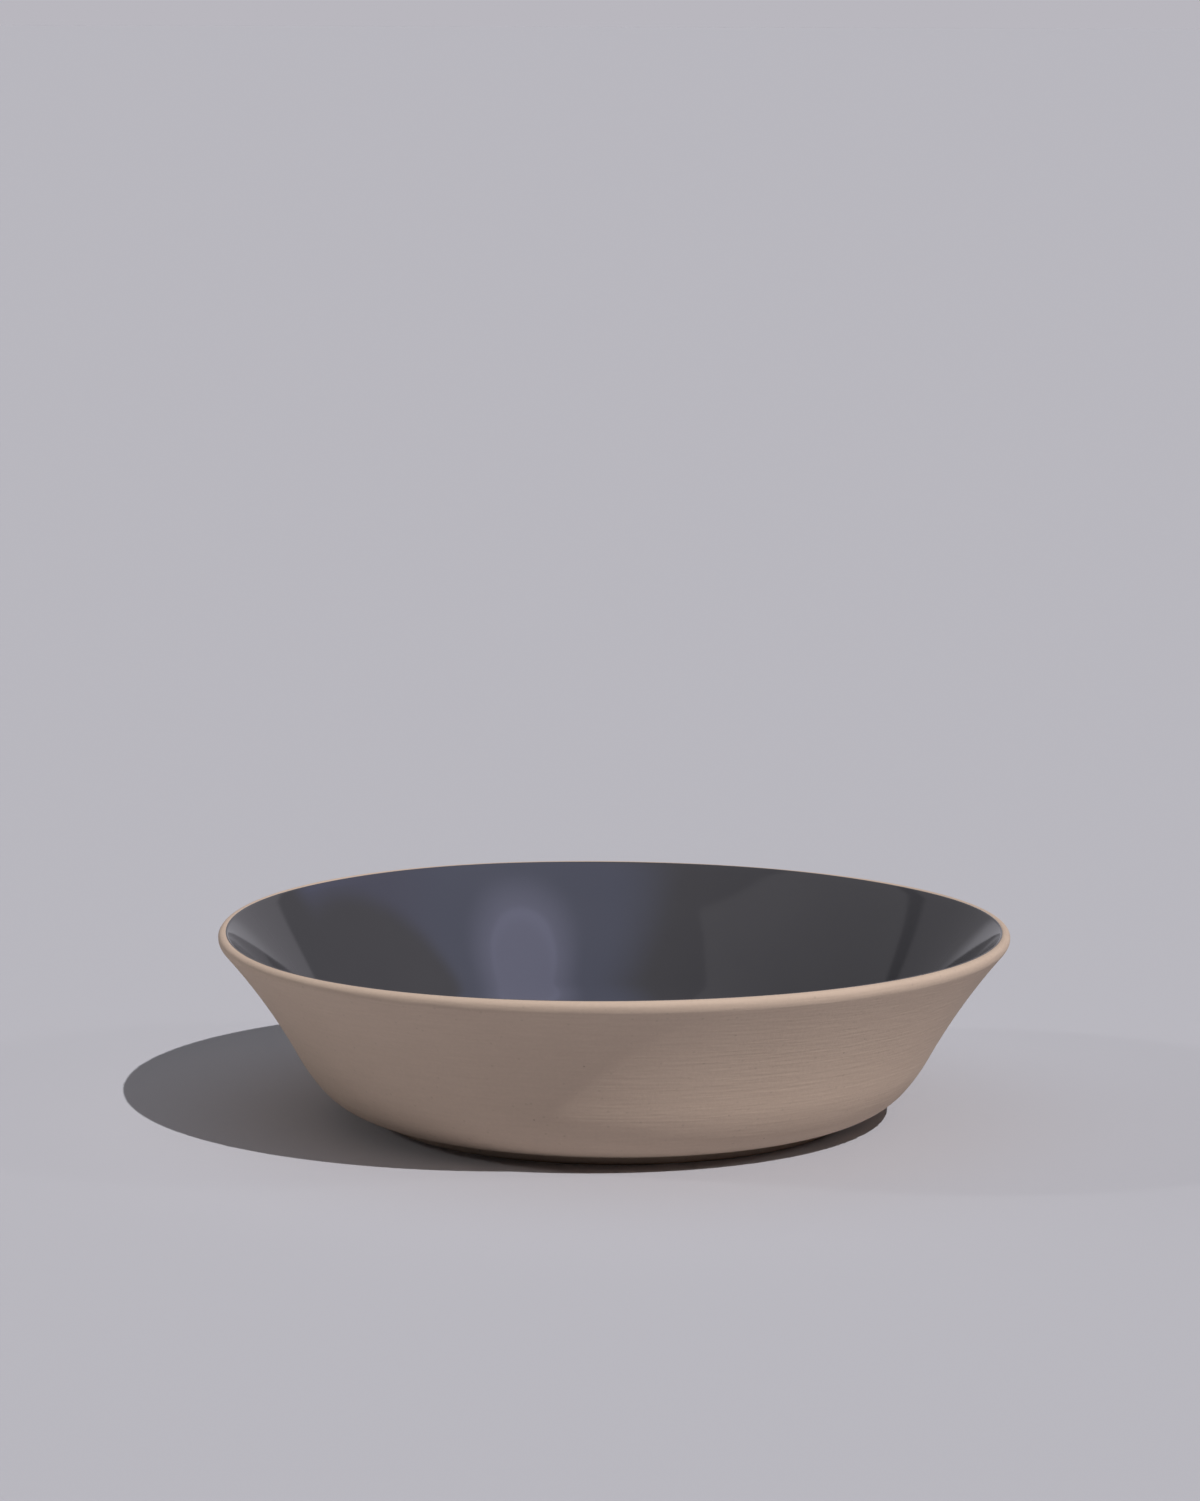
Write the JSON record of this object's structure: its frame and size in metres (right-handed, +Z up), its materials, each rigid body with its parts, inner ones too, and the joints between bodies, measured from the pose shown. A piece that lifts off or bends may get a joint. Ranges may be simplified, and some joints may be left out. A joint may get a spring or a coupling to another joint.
{
  "type": "vegetable bowl",
  "caption": "Wide, low round serving bowl with a low foot ring, a rounded base corner, a flared wall and a full-round lip: bare stoneware outside, glossy dark grey glaze inside.",
  "frame": {"origin": "centre of the foot, on the surface that the bowl stands on", "axes": "+Z up along the bowl's axis, from the foot to the mouth"},
  "size_m": [0.254, 0.254, 0.0612],
  "materials": {
    "stoneware": "bare fired stoneware, fine grained and matt, warm buff, with faint turning lines",
    "glaze": "glossy opaque glaze, dark warm grey"
  },
  "bodies": {
    "root": {"stoneware_body": "stoneware", "interior_glaze": "glaze"}
  },
  "joints": []
}
